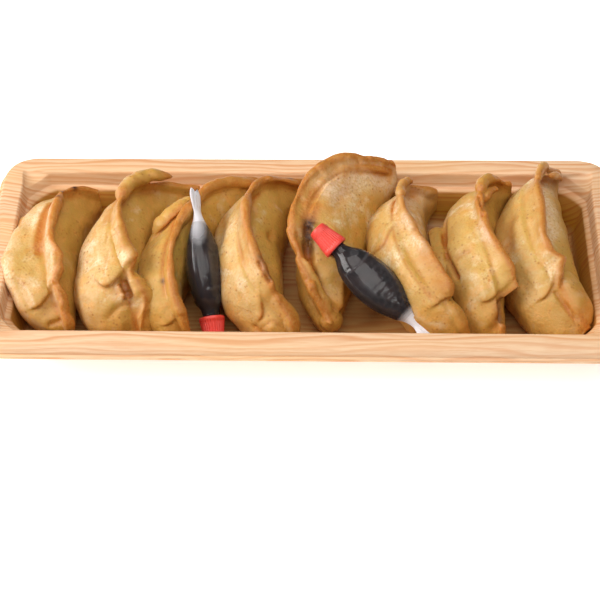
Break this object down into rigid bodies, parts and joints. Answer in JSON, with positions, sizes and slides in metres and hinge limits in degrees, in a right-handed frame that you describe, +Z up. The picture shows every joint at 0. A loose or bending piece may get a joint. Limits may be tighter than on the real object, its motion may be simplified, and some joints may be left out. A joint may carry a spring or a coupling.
{
  "type": "tray of gyoza dumplings",
  "caption": "Pan-fried gyoza stood side by side in a shallow wood-print takeaway tray, with small fish-shaped squeeze bottles of soy sauce lying on them.",
  "frame": {"origin": "on the surface the tray stands on, under the middle of the tray", "axes": "+X along the tray's length, +Y towards its back, +Z up"},
  "size_m": [0.2206, 0.0956, 0.0357],
  "materials": {
    "tray_wood_print": "satin, printed with pale wood grain",
    "fried_dough": "oily dough with browned edges",
    "clear_bottle": "clear, slightly milky",
    "soy_sauce": "liquid",
    "red_cap": "ribbed"
  },
  "bodies": {
    "root": {"tray": "tray_wood_print", "gyoza_1": "fried_dough", "gyoza_2": "fried_dough", "gyoza_3": "fried_dough", "gyoza_4": "fried_dough", "gyoza_5": "fried_dough", "gyoza_6": "fried_dough", "gyoza_7": "fried_dough", "gyoza_8": "fried_dough", "bottle_left": "clear_bottle", "bottle_right": "clear_bottle", "soy_sauce_left": "soy_sauce", "soy_sauce_right": "soy_sauce", "cap_left": "red_cap", "cap_right": "red_cap"}
  },
  "joints": []
}
